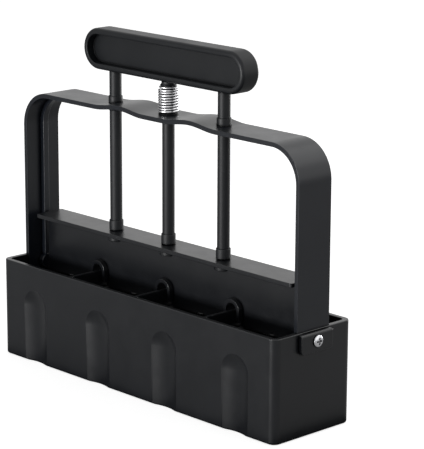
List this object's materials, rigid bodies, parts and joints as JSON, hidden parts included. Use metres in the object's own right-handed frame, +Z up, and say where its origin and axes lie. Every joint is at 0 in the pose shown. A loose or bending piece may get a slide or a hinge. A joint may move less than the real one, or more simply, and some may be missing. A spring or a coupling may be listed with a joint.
{
  "type": "soil blocker",
  "caption": "Hand soil blocker: a long open box of block moulds with a strap frame and a sprung pusher worked by a bar handle on push rods.",
  "frame": {"origin": "centre of the mould box's open bottom, on the surface that the tool stands on", "axes": "+X along the box, +Y away from the front face, which is the side with the deep handle recess, +Z up along the push rods"},
  "size_m": [0.2282, 0.057, 0.1942],
  "materials": {
    "moulding": "satin black moulded plastic",
    "bush": "smooth black bearing plastic",
    "rod": "smooth black coated steel rod",
    "spring": "bright plated spring wire",
    "zinc": "bright zinc plated screw"
  },
  "bodies": {
    "frame": {"mould_box": "moulding", "frame_strap": "moulding", "frame_screw_left": "zinc", "frame_screw_right": "zinc", "guide_bush_1": "bush", "guide_bush_2": "bush", "guide_bush_3": "bush", "return_spring": "spring", "spring_washer_lower": "bush"},
    "plunger": {"pusher_beam": "moulding", "push_rod_1": "rod", "push_rod_2": "rod", "push_rod_3": "rod", "rod_sleeve_1": "bush", "rod_sleeve_2": "bush", "rod_sleeve_3": "bush", "press_plate_1": "moulding", "press_plate_2": "moulding", "press_plate_3": "moulding", "press_plate_4": "moulding", "dibble_pin_1": "moulding", "dibble_pin_2": "moulding", "dibble_pin_3": "moulding", "dibble_pin_4": "moulding", "handle": "moulding", "handle_screw_1": "zinc", "handle_screw_2": "zinc", "handle_screw_3": "zinc", "spring_collar": "bush", "spring_washer_upper": "spring"}
  },
  "joints": [
    {"name": "plunger_slide", "type": "slide", "parent": "frame", "child": "plunger", "axis": [0, 0, -1], "range_m": [0, 0.0035], "stiffness_N_per_m": 1160, "springref_m": -0.003, "deforming": ["return_spring"]}
  ]
}
